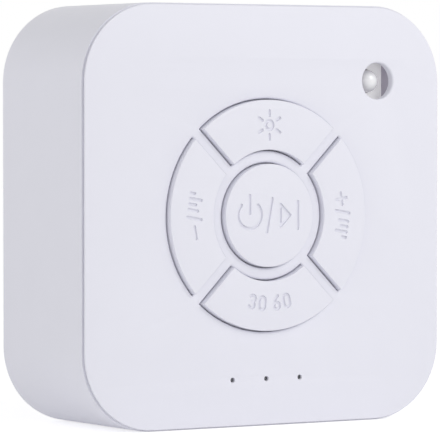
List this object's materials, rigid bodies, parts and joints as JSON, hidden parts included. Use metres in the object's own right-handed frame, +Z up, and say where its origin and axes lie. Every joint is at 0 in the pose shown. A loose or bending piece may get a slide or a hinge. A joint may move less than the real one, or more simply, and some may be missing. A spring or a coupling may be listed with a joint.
{
  "type": "white noise sound machine",
  "caption": "Small square bedside sound machine with a round key, a split ring of keys, a corner lamp and a loudspeaker behind holes in the back.",
  "frame": {"origin": "under the middle of the unit, on the surface that it stands on", "axes": "+X to the right seen from the front, +Y from the front to the back, +Z up"},
  "size_m": [0.092, 0.0382, 0.092],
  "materials": {
    "shell_plastic": "satin moulded, pale lavender white",
    "key_plastic": "satin moulded, pale lavender white",
    "cup_plastic": "satin white",
    "lamp_lens": "clear moulded, warm phosphor inside",
    "clear_guide": "clear moulded",
    "switch_case_plastic": "matt black",
    "switch_plunger_plastic": "pale soft rubber",
    "board": "green lacquered board",
    "chip_black": "matt black resin",
    "solder_metal": "tinned metal",
    "can_metal": "sleeved aluminium",
    "screw_steel": "zinc plated steel",
    "basket_steel": "black lacquered pressed steel",
    "plate_steel": "zinc plated steel",
    "magnet_ceramic": "dark ferrite",
    "coil_former": "brown paper former",
    "coil_copper": "enamelled copper wire",
    "cone_paper": "black pressed paper",
    "surround_rubber": "black rubber",
    "spider_cloth": "resin-dipped cloth",
    "tag_board": "brown strip",
    "foam": "closed-cell foam",
    "black_cloth": "fine black cloth",
    "pouch_foil": "aluminium laminate pouch",
    "socket_plastic": "ivory nylon",
    "plug_plastic": "white nylon",
    "port_steel": "nickel plated shell",
    "red_sleeve": "red sleeve",
    "black_sleeve": "black sleeve"
  },
  "bodies": {
    "main": {"front_panel": "shell_plastic", "rear_housing": "shell_plastic", "housing_screws": "screw_steel", "power_switch_case": "switch_case_plastic", "light_switch_case": "switch_case_plastic", "minus_switch_case": "switch_case_plastic", "plus_switch_case": "switch_case_plastic", "timer_switch_case": "switch_case_plastic", "switch_legs": "solder_metal", "main_board": "board", "board_screws": "screw_steel", "lamp_cup": "cup_plastic", "lamp_led": "lamp_lens", "lamp_led_legs": "solder_metal", "indicator_leds": "lamp_lens", "light_guide": "clear_guide", "sound_chip": "chip_black", "memory_chip": "chip_black", "amplifier_chip": "chip_black", "chip_legs": "solder_metal", "capacitors": "can_metal", "chip_resistors": "chip_black", "crystal": "can_metal", "lead_sockets": "socket_plastic", "lead_plugs": "plug_plastic", "speaker_basket": "basket_steel", "speaker_top_plate": "plate_steel", "speaker_magnet": "magnet_ceramic", "speaker_yoke": "plate_steel", "speaker_surround": "surround_rubber", "speaker_spider": "spider_cloth", "speaker_tag_strip": "tag_board", "speaker_gasket": "foam", "speaker_screws": "screw_steel", "grille_cloth": "black_cloth", "battery_cell": "pouch_foil", "battery_guard_board": "board", "battery_pad": "foam", "charge_board": "board", "charge_parts": "chip_black", "charge_socket": "port_steel", "charge_screws": "screw_steel", "red_leads": "red_sleeve", "black_leads": "black_sleeve"},
    "power_key_body": {"power_key": "key_plastic", "power_switch_plunger": "switch_plunger_plastic"},
    "light_key_body": {"light_key": "key_plastic", "light_switch_plunger": "switch_plunger_plastic"},
    "minus_key_body": {"minus_key": "key_plastic", "minus_switch_plunger": "switch_plunger_plastic"},
    "plus_key_body": {"plus_key": "key_plastic", "plus_switch_plunger": "switch_plunger_plastic"},
    "timer_key_body": {"timer_key": "key_plastic", "timer_switch_plunger": "switch_plunger_plastic"},
    "cone_body": {"voice_coil_former": "coil_former", "voice_coil": "coil_copper", "speaker_cone": "cone_paper", "dust_cap": "cone_paper"}
  },
  "joints": [
    {"name": "power_key_press", "type": "slide", "parent": "main", "child": "power_key_body", "axis": [0, 1, 0], "range_m": [0, 0.0006], "stiffness_N_per_m": 2000, "springref_m": -0.0002},
    {"name": "light_key_press", "type": "slide", "parent": "main", "child": "light_key_body", "axis": [0, 1, 0], "range_m": [0, 0.0006], "stiffness_N_per_m": 2000, "springref_m": -0.0002},
    {"name": "minus_key_press", "type": "slide", "parent": "main", "child": "minus_key_body", "axis": [0, 1, 0], "range_m": [0, 0.0006], "stiffness_N_per_m": 2000, "springref_m": -0.0002},
    {"name": "plus_key_press", "type": "slide", "parent": "main", "child": "plus_key_body", "axis": [0, 1, 0], "range_m": [0, 0.0006], "stiffness_N_per_m": 2000, "springref_m": -0.0002},
    {"name": "timer_key_press", "type": "slide", "parent": "main", "child": "timer_key_body", "axis": [0, 1, 0], "range_m": [0, 0.0006], "stiffness_N_per_m": 2000, "springref_m": -0.0002},
    {"name": "cone_stroke", "type": "slide", "parent": "main", "child": "cone_body", "axis": [0, 1, 0], "range_m": [-0.0008, 0.0008], "stiffness_N_per_m": 1200, "deforming": ["speaker_surround", "speaker_spider"]}
  ]
}
